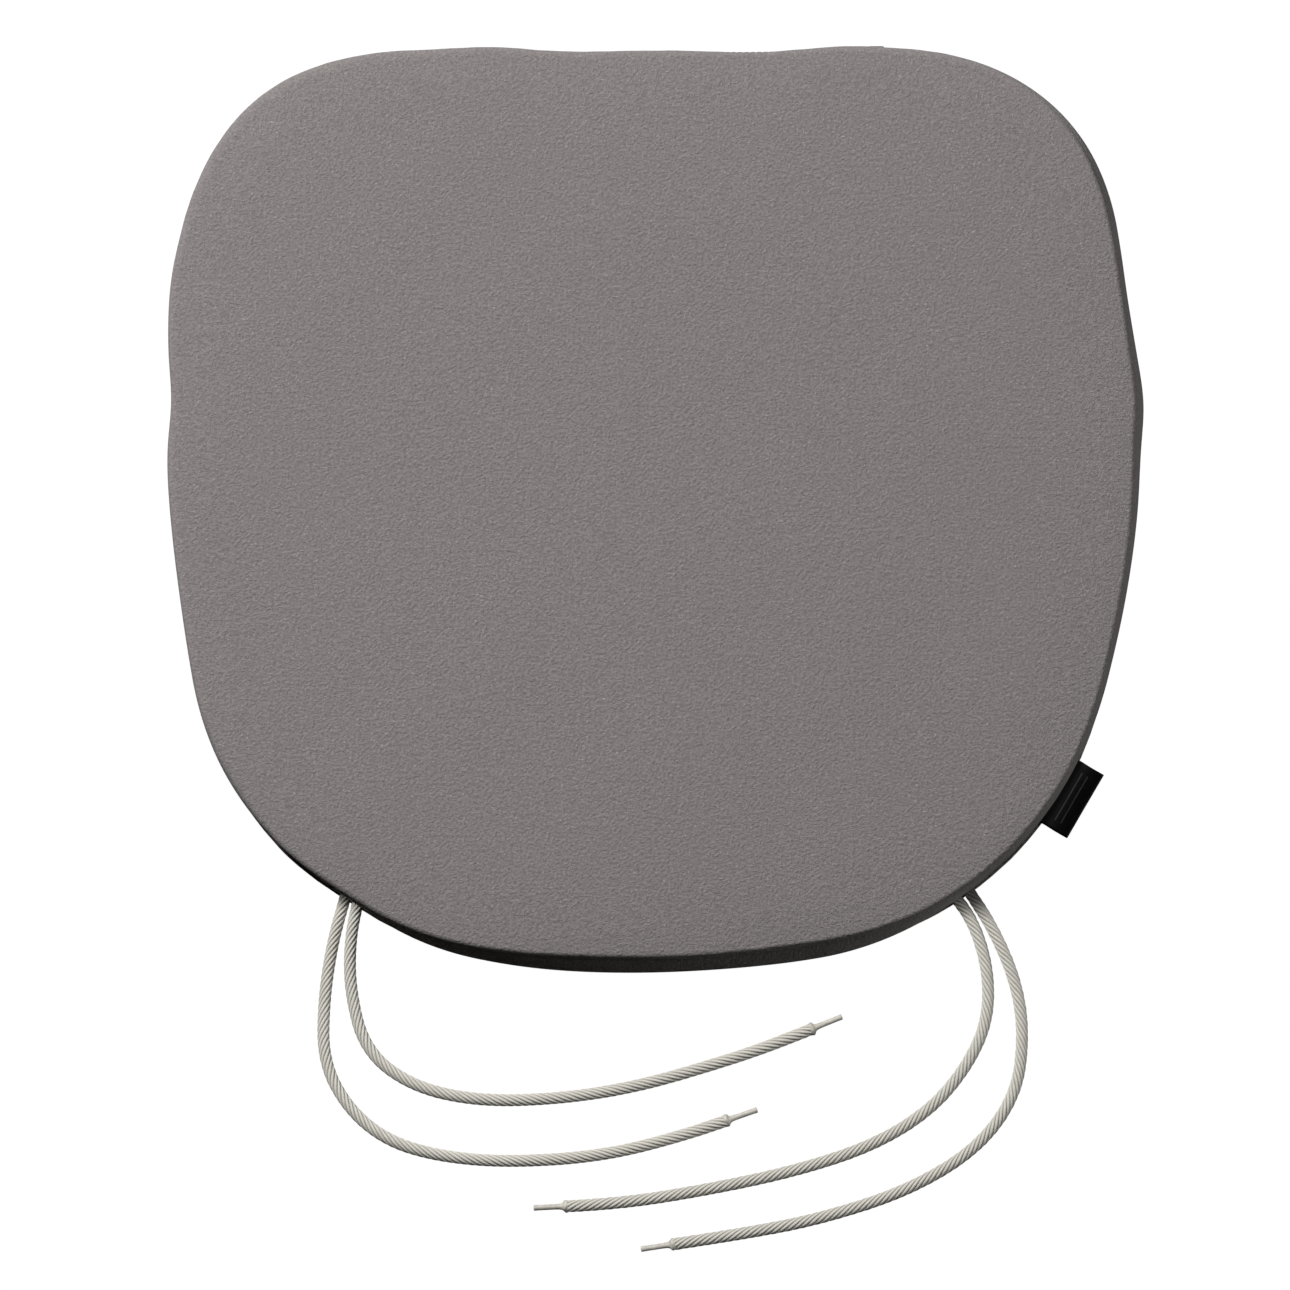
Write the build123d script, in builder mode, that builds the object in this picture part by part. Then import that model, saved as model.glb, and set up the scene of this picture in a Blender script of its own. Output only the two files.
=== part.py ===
"""Chair seat pad with a zipped front edge and four tie cords.

The thin box cushion lies on its underside. A foam slab fills a sewn cover of two panels and a band.
Sizes are in millimetres. The origin is at the middle of the underside, +Z is up, +Y points to the
chair's front, where the zip is, and the tie cords leave the rear corners. "Inset" is a distance
inwards from the cover's outer face.
"""
import math
import os

from build123d import *

# Pad. The outline is a chain of tangent arcs from the straight front edge to the middle of the rear.
pad_height = 25.0
outline_arcs = [  # radius, turn in degrees
    (88.0, 80.0),  # front corner
    (482.0, 22.5),  # side
    (147.3, 67.5),  # rear corner
    (405.0, 10.0),  # half of the rear edge
]

# Cover fabric and seams
fabric = 0.8
seam_allowance = 8.0
seam_inset = 1.2
hem = 5.0
thread = 0.4

# Foam slab
foam_gap = 0.2
foam_inset = 2.4
foam_rim_inset = 9.4
zip_pocket_depth = 2.6
zip_pocket_half = 4.6

# Zip: one coil half on each tape, and a slit between them for the slider's post
zip_panel_half = 100.0
zip_opening = 8.4
stitch_edge = 1.5  # from a fold or seam to the stitch row beside it
stitch_margin = 3.0
tape_thickness = 0.5
tape_width = 8.4
coil_slit = 1.4
coil_width = 1.7
coil_height = 1.4
stop_length = 2.0
stop_end = 99.0

# Slider and pull tab
slider_length = 9.0
slider_width = 7.0
slider_closed_x = 92.0
slider_plate = 1.0
slider_nose = 1.6
slider_round = 1.5
inner_plate = 0.9
inner_plate_margin = 0.5
plate_gap = 0.4
post_thickness = 0.8
post_length = 2.4
post_round = 0.3
post_shift = 1.0
flange_length = 4.6
flange_thickness = 0.7
flange_shift = 0.8
bridge_length = 6.4
bridge_width = 1.4
bridge_bar = 0.7
bridge_window = 1.3
bridge_round = 0.6
pull_thickness = 0.7
pull_width = 5.2
pull_length = 21.0
pull_round = 2.2
pull_window_width = 3.2
pull_window_length = 7.0

# Side tab: a folded woven label, sewn in on the right rear corner
tab_length = 30.0
tab_reach = 9.5
tab_sewn_in = 6.0
tab_thickness = 1.0
tab_fold_round = 0.45
tab_place = 0.29  # share of the way round the rear corner

# Care label, hanging between the foam and the rear of the band
label_width = 24.0
label_height = 16.0
label_thickness = 0.3
label_inset = 1.8

# Tie cords: control points of each route on the floor, from inside the seam to the tip
tie_diameter = 4.7
tie_tip_lift = 0.35  # the collar is wider than the cord, and lifts its end
tie_routes = {
    "left_outer": [
        (-123, -155), (-129, -176.5), (-132.5, -201), (-132.5, -226.5), (-122.5, -245.5), (-106.5, -259),
        (-85, -265.5), (-57, -268), (-18.5, -265.5), (15, -257), (32, -251),
    ],
    "left_inner": [
        (-117.5, -155), (-122, -174.5), (-122, -197), (-115.5, -222), (-96.5, -236.8), (-69, -243),
        (-35.5, -242), (-4, -237), (30, -227), (50.5, -220), (66.5, -213.5),
    ],
    "right_inner": [
        (120.5, -154.5), (131.5, -168), (138, -188.5), (138, -210), (129.5, -229), (114.5, -247),
        (91, -261.5), (58.5, -272), (21, -279.8), (-12.5, -285), (-33, -286),
    ],
    "right_outer": [
        (128.5, -154.5), (140, -172), (149.5, -194.5), (152.5, -216), (149.5, -240.5), (134, -262.3),
        (106, -279.5), (70.5, -291), (40, -297), (10.5, -301.5),
    ],
}
tie_bend_share = 0.45  # of the shorter run beside a corner, taken up by its bend
collar_diameter = 5.4
collar_length = 1.2
cone_length = 3.0
stem_diameter = 2.1
tip_length = 15.0
tack_x = 126.0
tack_width = 10.0
tack_height = 2.4

# Derived places. The front's half length is what closes the outline on the centre line.
headings = [0.0]
for arc_radius, arc_turn in outline_arcs:
    headings.append(headings[-1] + math.radians(arc_turn))
front_half = 0.0
pad_depth = 0.0
for (arc_radius, arc_turn), turned, turned_next in zip(outline_arcs, headings, headings[1:]):
    front_half -= arc_radius * (math.sin(turned_next) - math.sin(turned))
    pad_depth += arc_radius * (math.cos(turned) - math.cos(turned_next))
front_y = pad_depth / 2
mid_z = pad_height / 2
band_low_z = 2 * fabric
band_high_z = pad_height - 2 * fabric
zip_edge_z = mid_z + zip_opening / 2
tape_y = front_y - 2 * fabric
coil_front_y = tape_y + coil_height
outer_plate_y = coil_front_y + plate_gap
pull_axis_y = outer_plate_y + slider_plate + bridge_window / 2

os.makedirs("parts", exist_ok=True)


def right_edges(inset=0.0):
    """The outline's right half as a list of edges, from the front to the rear."""
    edges = [Line((0, front_y - inset), (front_half, front_y - inset))]
    for radius, turn in outline_arcs:
        last = edges[-1]
        edges.append(JernArc(last @ 1, last % 1, radius - inset, -turn))
    return edges


def outline(inset=0.0):
    """The pad's plan outline as a face."""
    with BuildSketch() as plan:
        with BuildLine():
            add(right_edges(inset))
            mirror(about=Plane.YZ)
        make_face()
    return plan.sketch


def outline_slab(low_z, high_z, inset=0.0, hole_inset=None):
    """A slab of the pad's outline, or a ring of it when there is a hole."""
    with BuildPart() as slab:
        with BuildSketch(Plane.XY.offset(low_z)):
            add(outline(inset))
            if hole_inset is not None:
                add(outline(hole_inset), mode=Mode.SUBTRACT)
        extrude(amount=high_z - low_z)
    return slab.part


def front_block(x_low, x_high, y_low, y_high, z_low, z_high, mode=Mode.ADD):
    """A straight block along X, added to the open part."""
    with BuildSketch(Plane.YZ.offset(x_low), mode=Mode.PRIVATE) as section:
        with Locations((y_low, z_low)):
            Rectangle(y_high - y_low, z_high - z_low, align=(Align.MIN, Align.MIN))
    return extrude(section.sketch, amount=x_high - x_low, mode=mode)


def save(piece, label):
    """Label a finished piece and write its STEP file."""
    piece.part.label = label
    export_step(piece.part, f"parts/{label}.step")


# ---------------------------------------------------------------- foam
with BuildPart() as foam_core:
    # full thickness in the middle, and pressed thinner over the seam allowances at the rim
    add(outline_slab(fabric + foam_gap, pad_height - fabric - foam_gap, foam_rim_inset))
    add(outline_slab(band_low_z + fabric + foam_gap, band_high_z - fabric - foam_gap, foam_inset))
    # pocket behind the zip, in which the slider's inner plate runs
    front_block(
        -zip_panel_half, zip_panel_half, tape_y - zip_pocket_depth, front_y,
        mid_z - zip_pocket_half, mid_z + zip_pocket_half, mode=Mode.SUBTRACT,
    )
save(foam_core, "foam_core")

# ---------------------------------------------------------------- cover panels and band
with BuildPart() as top_panel:
    add(outline_slab(pad_height - fabric, pad_height))
    # the allowance, folded under the panel's edge
    add(outline_slab(band_high_z, pad_height - fabric, 0, fabric + seam_allowance))
save(top_panel, "top_panel")

with BuildPart() as bottom_panel:
    mirror(top_panel.part, about=Plane.XY.offset(mid_z))
save(bottom_panel, "bottom_panel")

with BuildPart() as side_band:
    add(outline_slab(band_low_z, band_high_z, 0, fabric))
    add(outline_slab(band_high_z - fabric, band_high_z, 0, fabric + seam_allowance))
    add(outline_slab(band_low_z, band_low_z + fabric, 0, fabric + seam_allowance))
    # opening for the zip panel, between two upright seams
    front_block(
        -zip_panel_half, zip_panel_half, front_y - 2 * seam_allowance, front_y + fabric,
        0, pad_height, mode=Mode.SUBTRACT,
    )
save(side_band, "side_band")

with BuildPart() as zip_strip_upper:
    wall_y = front_y - fabric
    front_block(-zip_panel_half, zip_panel_half, wall_y, front_y, zip_edge_z, band_high_z)
    front_block(-zip_panel_half, zip_panel_half, tape_y, wall_y, zip_edge_z, zip_edge_z + hem)
    front_block(
        -zip_panel_half, zip_panel_half, front_y - fabric - seam_allowance, front_y,
        band_high_z - fabric, band_high_z,
    )
save(zip_strip_upper, "zip_strip_upper")

with BuildPart() as zip_strip_lower:
    mirror(zip_strip_upper.part, about=Plane.XY.offset(mid_z))
save(zip_strip_lower, "zip_strip_lower")

# ---------------------------------------------------------------- zip chain
with BuildPart() as zip_tape_upper:
    tape_z = mid_z + coil_slit / 2
    front_block(
        -zip_panel_half, zip_panel_half, tape_y - tape_thickness, tape_y, tape_z, tape_z + tape_width
    )
save(zip_tape_upper, "zip_tape_upper")

with BuildPart() as zip_tape_lower:
    mirror(zip_tape_upper.part, about=Plane.XY.offset(mid_z))
save(zip_tape_lower, "zip_tape_lower")

with BuildPart() as zip_coil_upper:
    coil_end = stop_end - stop_length
    coil_z = mid_z + coil_slit / 2
    coil = front_block(-coil_end, coil_end, tape_y, coil_front_y, coil_z, coil_z + coil_width)
    # rounded outer corners of the coil's section
    fillet(coil.edges().filter_by(Axis.X).group_by(Axis.Y)[-1], coil_height / 3)
save(zip_coil_upper, "zip_coil_upper")

with BuildPart() as zip_coil_lower:
    mirror(zip_coil_upper.part, about=Plane.XY.offset(mid_z))
save(zip_coil_lower, "zip_coil_lower")

stop_low_z = mid_z + coil_slit / 2
stop_high_z = stop_low_z + coil_width
with BuildPart() as zip_top_stops:
    # one clip at the closed end of each coil half
    front_block(
        stop_end - stop_length, stop_end, tape_y, coil_front_y, stop_low_z, stop_high_z
    )
    mirror(about=Plane.XY.offset(mid_z))
save(zip_top_stops, "zip_top_stops")

with BuildPart() as zip_bottom_stop:
    # one clip across both coil halves at the opening end
    front_block(
        -stop_end, -stop_end + stop_length, tape_y, coil_front_y,
        2 * mid_z - stop_high_z, stop_high_z,
    )
save(zip_bottom_stop, "zip_bottom_stop")

# ---------------------------------------------------------------- slider and pull tab
with BuildPart() as zip_slider_body:
    # outer plate, narrowed at the end that leads when the zip opens
    with BuildSketch(Plane.XZ.offset(-outer_plate_y)) as outer_plate:
        with Locations((slider_closed_x, mid_z)):
            Rectangle(slider_length, slider_width)
        chamfer(outer_plate.vertices().group_by(Axis.X)[0], slider_nose)
        fillet(outer_plate.vertices().group_by(Axis.X)[-1], slider_round)
    extrude(amount=-slider_plate)
    # inner plate, behind the tapes
    with BuildSketch(Plane.XZ.offset(-(tape_y - tape_thickness - plate_gap))):
        with Locations((slider_closed_x, mid_z)):
            RectangleRounded(
                slider_length - 2 * inner_plate_margin, slider_width - 2 * inner_plate_margin,
                slider_round,
            )
    extrude(amount=inner_plate)
    # post between the coil halves
    with BuildSketch(Plane.XZ.offset(-outer_plate_y)):
        with Locations((slider_closed_x + post_shift, mid_z)):
            RectangleRounded(post_length, post_thickness, post_round)
    extrude(amount=outer_plate_y - (tape_y - tape_thickness - plate_gap))
    # flanges beside the coil halves
    for side in (-1, 1):
        flange_z = mid_z + side * (slider_width - flange_thickness) / 2
        with BuildSketch(Plane.XZ.offset(-outer_plate_y)):
            with Locations((slider_closed_x + flange_shift, flange_z)):
                Rectangle(flange_length, flange_thickness)
        extrude(amount=coil_height)
    # bridge that carries the pull tab
    bridge_base = outer_plate_y + slider_plate
    with BuildSketch(Plane.XY.offset(mid_z - bridge_width / 2)) as bridge:
        with Locations((slider_closed_x, bridge_base)):
            Rectangle(bridge_length, bridge_window + bridge_bar, align=(Align.CENTER, Align.MIN))
            fillet(bridge.vertices().group_by(Axis.Y)[-1], bridge_round)
            Rectangle(
                bridge_length - 2 * bridge_bar, bridge_window,
                align=(Align.CENTER, Align.MIN), mode=Mode.SUBTRACT,
            )
    extrude(amount=bridge_width)
save(zip_slider_body, "zip_slider_body")

with BuildPart() as zip_pull_tab:
    # flat tab with a window at one end
    with BuildSketch(Plane.XZ.offset(-(pull_axis_y + pull_thickness / 2))) as pull_plate:
        with Locations((slider_closed_x, mid_z)):
            Rectangle(pull_length, pull_width, align=(Align.MAX, Align.CENTER))
            fillet(pull_plate.vertices().group_by(Axis.X)[0], pull_round)
            Rectangle(
                pull_window_length, pull_window_width,
                align=(Align.MAX, Align.CENTER), mode=Mode.SUBTRACT,
            )
    extrude(amount=pull_thickness)
    # round bar across the window's end, held under the slider's bridge
    with BuildSketch(Plane.XY.offset(mid_z - pull_width / 2)):
        with Locations((slider_closed_x, pull_axis_y)):
            Circle(pull_thickness / 2)
    extrude(amount=pull_width)
save(zip_pull_tab, "zip_pull_tab")

# ---------------------------------------------------------------- stitching
with BuildPart() as zip_stitching_upper:
    # row beside the strip's folded edge, through the strip and the tape
    stitch_z = zip_edge_z + stitch_edge
    front_block(
        -zip_panel_half + stitch_margin, zip_panel_half - stitch_margin,
        front_y, front_y + thread / 2, stitch_z, stitch_z + thread,
    )
save(zip_stitching_upper, "zip_stitching_upper")

with BuildPart() as zip_stitching_lower:
    mirror(zip_stitching_upper.part, about=Plane.XY.offset(mid_z))
save(zip_stitching_lower, "zip_stitching_lower")

with BuildPart() as top_seam_thread:
    # lockstitch line inside the cover, under the band's allowance
    under_z = band_high_z - fabric
    add(outline_slab(under_z - thread, under_z, seam_inset, seam_inset + thread))
save(top_seam_thread, "top_seam_thread")

with BuildPart() as bottom_seam_thread:
    mirror(top_seam_thread.part, about=Plane.XY.offset(mid_z))
save(bottom_seam_thread, "bottom_seam_thread")

with BuildPart() as band_join_thread:
    # upright row at each end of the zip panel
    for side in (-1, 1):
        join_x = side * (zip_panel_half + stitch_edge)
        front_block(
            join_x - thread / 2, join_x + thread / 2, front_y, front_y + thread / 2,
            band_low_z + stitch_edge, band_high_z - stitch_edge,
        )
save(band_join_thread, "band_join_thread")

# ---------------------------------------------------------------- labels
pad_prism = outline_slab(0, pad_height)
rear_corner = right_edges()[3]
along_edge = rear_corner % tab_place
outwards = along_edge.rotate(Axis.Z, 90)
with BuildPart() as side_tab:
    # folded tape across the outline, its fold outwards, its inner end shaped by the band
    with BuildSketch(Plane(rear_corner @ tab_place, x_dir=outwards, z_dir=along_edge)) as tab_section:
        with Locations((tab_reach, band_low_z)):
            Rectangle(tab_reach + tab_sewn_in, tab_thickness, align=(Align.MAX, Align.CENTER))
        fillet(tab_section.vertices().group_by(Axis.X)[-1], tab_fold_round)
    extrude(amount=tab_length / 2, both=True)
    add(pad_prism, mode=Mode.SUBTRACT)
save(side_tab, "side_tab")

with BuildPart() as care_label:
    # blank satin label, held in the bottom seam's allowance
    with BuildSketch(Plane.XZ.offset(front_y - label_inset - label_thickness)):
        with Locations((0, band_low_z + fabric)):
            Rectangle(label_width, label_height, align=(Align.CENTER, Align.MIN))
    extrude(amount=label_thickness)
save(care_label, "care_label")

# ---------------------------------------------------------------- tie cords

def route_points(route):
    """A tie's points in space: on the floor, with the tip end lifted by its collar."""
    points = [Vector(x, y, tie_diameter / 2) for x, y in route]
    points[-1] += Vector(0, 0, tie_tip_lift)
    return points


def bend_radii(points):
    """As large a radius at each corner of a route as its two runs allow."""
    radii = []
    for before, corner, after in zip(points, points[1:], points[2:]):
        half_turn = math.radians((corner - before).get_angle(after - corner)) / 2
        shorter = min((corner - before).length, (after - corner).length)
        radii.append(tie_bend_share * shorter / math.tan(half_turn))
    return radii


def make_cord(name, points):
    """One tie's cord, cut where it enters the seam."""
    radii = bend_radii(points)
    with BuildPart() as cord:
        with BuildLine() as path:
            FilletPolyline(*points, radius=radii)
        with BuildSketch(Plane(origin=path.line @ 0, z_dir=path.line % 0)):
            Circle(tie_diameter / 2)
        sweep()
        swept_volume = cord.part.volume
        add(pad_prism, mode=Mode.SUBTRACT)
    section_area = math.pi * tie_diameter**2 / 4
    print(f"{name}: bend radii {[round(radius) for radius in radii]}")
    print(f"  length outside the seam {cord.part.volume / section_area:.1f}")
    print(f"  swept volume over section x length {swept_volume / section_area / path.wire().length:.4f}")
    save(cord, f"tie_cord_{name}")


def make_tip(name, points):
    """The moulded end of one tie: a collar against the cord, a cone and a thin stem."""
    end = points[-1]
    along = (end - points[-2]).normalized()
    with BuildPart() as tip:
        with BuildSketch(Plane(origin=end, x_dir=along, z_dir=(0, 0, 1))):
            with BuildLine():
                Polyline(
                    (0, 0),
                    (0, collar_diameter / 2),
                    (collar_length, collar_diameter / 2),
                    (collar_length + cone_length, stem_diameter / 2),
                    (tip_length, stem_diameter / 2),
                    (tip_length, 0),
                    close=True,
                )
            make_face()
        revolve(axis=Axis(end, along))
    save(tip, f"tie_tip_{name}")


for tie_name, tie_route in tie_routes.items():
    make_cord(tie_name, route_points(tie_route))
    make_tip(tie_name, route_points(tie_route))

for side_name, side in (("left", -1), ("right", 1)):
    # bar tack inside the band that holds one side's pair of cords
    with BuildPart() as tie_tack:
        tack_low_z = band_low_z + fabric
        add(outline_slab(tack_low_z, tack_low_z + tack_height, fabric, fabric + thread))
        with BuildSketch(Plane.XY, mode=Mode.PRIVATE) as tack_area:
            with Locations((side * tack_x, -front_y)):
                Rectangle(tack_width, front_y)
        extrude(tack_area.sketch, amount=pad_height, mode=Mode.INTERSECT)
    save(tie_tack, f"tie_tack_{side_name}")

size = pad_prism.bounding_box().size
print(f"pad {size.X:.1f} x {size.Y:.1f} x {size.Z:.1f}, straight front {2 * front_half:.1f}")
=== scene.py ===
"""Looks of the chair seat pad: sewn suede-look cover, front zip, side tab and twisted tie cords.

Everything is in metres in the CAD frame: +Z up, the origin in the middle of the underside, +Y towards
the zipped front edge. A "place" is a distance along the outline, clockwise from the middle of the
front edge, and an "inset" is a distance inwards from the CAD outline.
"""
import math

import bpy
import numpy as np
from mathutils import Matrix, Vector


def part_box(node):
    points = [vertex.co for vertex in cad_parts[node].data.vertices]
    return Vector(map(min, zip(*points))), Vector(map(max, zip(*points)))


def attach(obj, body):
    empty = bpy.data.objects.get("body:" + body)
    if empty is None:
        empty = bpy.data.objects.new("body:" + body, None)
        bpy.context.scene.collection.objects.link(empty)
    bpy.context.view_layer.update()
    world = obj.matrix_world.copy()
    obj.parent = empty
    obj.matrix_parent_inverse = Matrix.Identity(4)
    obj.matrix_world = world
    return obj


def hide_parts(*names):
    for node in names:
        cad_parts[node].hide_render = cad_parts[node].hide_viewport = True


MM = 0.001

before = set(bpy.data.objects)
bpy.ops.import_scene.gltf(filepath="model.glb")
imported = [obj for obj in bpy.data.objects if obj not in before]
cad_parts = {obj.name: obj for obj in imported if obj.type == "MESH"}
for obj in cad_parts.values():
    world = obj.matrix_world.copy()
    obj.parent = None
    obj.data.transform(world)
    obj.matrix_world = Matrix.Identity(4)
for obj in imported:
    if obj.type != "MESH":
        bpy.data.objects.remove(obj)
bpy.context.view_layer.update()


def in_metres(*rows):
    """Rows of millimetres as rows of metres."""
    return [tuple(value * MM for value in row) for row in rows]


# ---------------- sizes
TOP_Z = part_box("top_panel")[1].z
FRONT_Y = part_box("top_panel")[1].y
MID_Z = TOP_Z / 2
ZIP_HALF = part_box("zip_strip_upper")[1].x
TAPE_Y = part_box("zip_tape_upper")[1].y
COIL_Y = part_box("zip_coil_upper")[1].y
COIL_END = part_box("zip_coil_upper")[1].x

# Radius and turn in degrees, as in the CAD model
OUTLINE_ARCS = [(88.0 * MM, 80.0), (482.0 * MM, 22.5), (147.3 * MM, 67.5), (405.0 * MM, 10.0)]

# Side profile of the stuffed cover
FABRIC = 0.76 * MM
SEAM_Z = 21.4 * MM  # the upper seam, and the lower one mirrors it
SEAM_GAP = 0.06 * MM
SEAM_ROLL = 0.45 * MM  # radius with which each edge turns into a seam
SHOULDER = 2.3 * MM  # width of the turn from the side to the face
EDGE_DROP = 0.3 * MM  # how far the edge of the face lies below the CAD's flat top
ALLOWANCE = 6.0 * MM
HEM_EDGE = 4.2 * MM  # from the zip's middle to a strip's folded edge
HEM = 5.0 * MM
CROWN = 1.5 * MM  # how far the middle stands above the CAD's flat top
CROWN_REACH = 0.3  # share of the simulated rise at which the crown starts to level off

# Soft unevenness of the side. In these four tables a row is a place, an amount and a width in mm.
RIPPLES = in_metres(
    (-68, 2.6, 17), (-100, 0.9, 12), (0, 0.7, 20), (40, -0.5, 11), (82, 1.8, 16), (150, 0.2, 24),
    (222, -1.7, 22), (259, -1.4, 16), (304, 1.7, 12), (345, 0.5, 18), (432, -1.7, 30),
    (488, -1.0, 20), (522, -0.9, 16), (588, 1.6, 30), (662, 1.2, 34), (-608, 1.9, 30),
    (-530, -2.6, 20), (-488, -0.8, 18), (-390, -2.0, 40), (-325, -0.6, 50), (-302, -2.0, 12),
    (-251, 2.0, 18), (-165, 1.7, 24),
)
# How far the middle of the side stands out beyond its seams
BULGE = 1.8 * MM
BULGES = in_metres(
    (175, 3.2, 34), (222, 2.2, 24), (297, 3.2, 26), (345, 0.8, 30), (486, -1.5, 34),
    (522, -1.4, 22), (590, 4.9, 26), (640, 4.0, 30), (690, 4.5, 26), (735, 1.9, 24),
    (812, -1.9, 30),
)
# How far the top leans out over the bottom
LEANS = in_metres((92, 0.5, 20), (480, 0.6, 30), (520, 0.4, 20), (-517, 0.7, 26))
# Where the turn from the side to the face is softer
SHOULDERS = in_metres((125, 2.2, 35), (-20, 1.6, 60), (-165, 4.5, 60), (-340, 3.0, 70))

STITCH = 2.6 * MM
THREAD = 0.4 * MM

# Side tab, as in the CAD model
TAB_PLACE = 468.9 * MM
TAB_LENGTH = 30.0 * MM
TAB_REACH = 9.5 * MM
TAB_TURN = math.radians(2.3)  # sewn in slightly askew
TAB_LINES = (7.2 * MM, 10.0 * MM)  # along the tape from its hidden end

# Tie cords
CORD_DIAMETER = 4.7 * MM
CORD_FULLNESS = 1.06  # the strands stand out a little from the plain cord
CORD_PITCH = 24.0 * MM
CORD_STRANDS = 8
SEWN_IN = 5.0 * MM
ROOT_SHADE = {"left": 8.0 * MM, "right": 15.5 * MM}  # length past SEWN_IN over which a cord carries a painted shadow of the pad
ROOT_SHADOW_DARKNESS = 1.35  # how dark the painted shadow at the root is, where the painted shade deepest in the hollows between strands is 1
ROOT_LIFT = 0.4 * MM  # a cord starts this much higher, in the lower seam
TIP_LIFT = 0.35 * MM  # its end lies higher, because the tip's collar is thicker
TIE_HANDS = {"left": 1, "right": -1}  # which way the strands turn
TIE_ROUTES = {  # control points on the floor in mm, as in the CAD model
    "left_outer": [
        (-123, -155), (-129, -176.5), (-132.5, -201), (-132.5, -226.5), (-122.5, -245.5),
        (-106.5, -259), (-85, -265.5), (-57, -268), (-18.5, -265.5), (15, -257), (32, -251),
    ],
    "left_inner": [
        (-117.5, -155), (-122, -174.5), (-122, -197), (-115.5, -222), (-96.5, -236.8),
        (-69, -243), (-35.5, -242), (-4, -237), (30, -227), (50.5, -220), (66.5, -213.5),
    ],
    "right_inner": [
        (120.5, -154.5), (131.5, -168), (138, -188.5), (138, -210), (129.5, -229),
        (114.5, -247), (91, -261.5), (58.5, -272), (21, -279.8), (-12.5, -285), (-33, -286),
    ],
    "right_outer": [
        (128.5, -154.5), (140, -172), (149.5, -194.5), (152.5, -216), (149.5, -240.5),
        (134, -262.3), (106, -279.5), (70.5, -291), (40, -297), (10.5, -301.5),
    ],
}


# ---------------- outline
def make_outline():
    """Dense table of the CAD outline: distance along it, points and outward directions."""
    headings = np.radians(np.cumsum([0.0] + [turn for _, turn in OUTLINE_ARCS]))
    radii = np.array([radius for radius, _ in OUTLINE_ARCS])
    front_half = -np.sum(radii * np.diff(np.sin(headings)))
    lengths = np.concatenate([[0.0, front_half], radii * np.diff(headings)])
    half = lengths.sum()
    along = np.linspace(0, half, int(half / (0.2 * MM)))
    heading = np.interp(along, np.cumsum(lengths), np.concatenate([[0.0], headings]))
    middle = (heading[1:] + heading[:-1]) / 2
    x = np.concatenate([[0.0], np.cumsum(np.cos(middle))]) * along[1]
    y = FRONT_Y - np.concatenate([[0.0], np.cumsum(np.sin(middle))]) * along[1]
    back = slice(-2, None, -1)
    return {
        "place": np.concatenate([along, 2 * half - along[back]]),
        "x": np.concatenate([x, -x[back]]),
        "y": np.concatenate([y, y[back]]),
        "out_x": np.concatenate([np.sin(heading), -np.sin(heading[back])]),
        "out_y": np.concatenate([np.cos(heading), np.cos(heading[back])]),
    }


OUTLINE = make_outline()
ROUND = OUTLINE["place"][-1]


def outline_at(place, column):
    """One column of the outline's table at these places."""
    return np.interp(np.mod(place, ROUND), OUTLINE["place"], OUTLINE[column])


def smooth(value):
    """Smooth step from 0 to 1."""
    value = np.clip(value, 0, 1)
    return value * value * (3 - 2 * value)


def bumps(place, table):
    """Sum of smooth bumps round the cover."""
    total = np.zeros_like(place)
    for centre, amount, width in table:
        gap = np.mod(place - centre + ROUND / 2, ROUND) - ROUND / 2
        total += amount * np.exp(-0.5 * (gap / width) ** 2)
    return total


def pucker(place):
    """Small gathers that the stitching pulls into the seams."""
    turns = 2 * math.pi * place / ROUND
    return 0.03 * MM * (np.sin(131 * turns) + np.sin(83 * turns + 1) + np.sin(57 * turns + 2))


def beside_zip(place, fade):
    """1 along the zip, fading to 0 past its ends."""
    from_front = np.abs(np.mod(place + ROUND / 2, ROUND) - ROUND / 2)
    return 1 - smooth((from_front - ZIP_HALF) / fade)


def side_inset(place, z):
    """Inset of the cover's side at places, at one height or at their own heights."""
    level = np.abs(z - MID_Z)
    bulge = (BULGE + bumps(place, BULGES)) * (level / MID_Z) ** 2
    bulge -= bumps(place, LEANS) * (z - MID_Z) / MID_Z
    # beside the zip, which is straight, the waves fade out
    waves = 1 - beside_zip(place, 22 * MM) * (1 - smooth((level - HEM_EDGE) / (5 * MM)))
    near_seam = smooth((level - 6 * MM) / (3 * MM))
    return bulge - bumps(place, RIPPLES) * waves + pucker(place) * near_seam


def cover_point(place, inset, z):
    """Points at a place, an inset and a height."""
    x = outline_at(place, "x") - outline_at(place, "out_x") * inset
    y = outline_at(place, "y") - outline_at(place, "out_y") * inset
    return np.stack(np.broadcast_arrays(x, y, z), axis=-1)


# ---------------- mesh helpers
def put(name, data):
    """A new object in the scene."""
    thing = bpy.data.objects.new(name, data)
    bpy.context.collection.objects.link(thing)
    return thing


def new_piece(name, verts, faces, material):
    """A smooth mesh object, its vertices in the CAD frame."""
    mesh = bpy.data.meshes.new(name)
    mesh.from_pydata(np.asarray(verts).reshape(-1, 3).tolist(), [], faces)
    mesh.polygons.foreach_set("use_smooth", [True] * len(mesh.polygons))
    mesh.materials.append(material)
    return put(name, mesh)


def finish_piece(piece, node, body="pad"):
    """Body of a piece, and the CAD node for which it stands, which is hidden."""
    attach(piece, body)
    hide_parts(node)
    return piece


def grid_faces(rows, columns, closed=False):
    """Quads over a grid of vertices stored row by row, joined round when closed."""
    faces = []
    for row in range(rows - 1):
        for column in range(columns if closed else columns - 1):
            after = (column + 1) % columns
            low, high = row * columns, (row + 1) * columns
            faces.append((low + column, low + after, high + after, high + column))
    return faces


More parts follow.
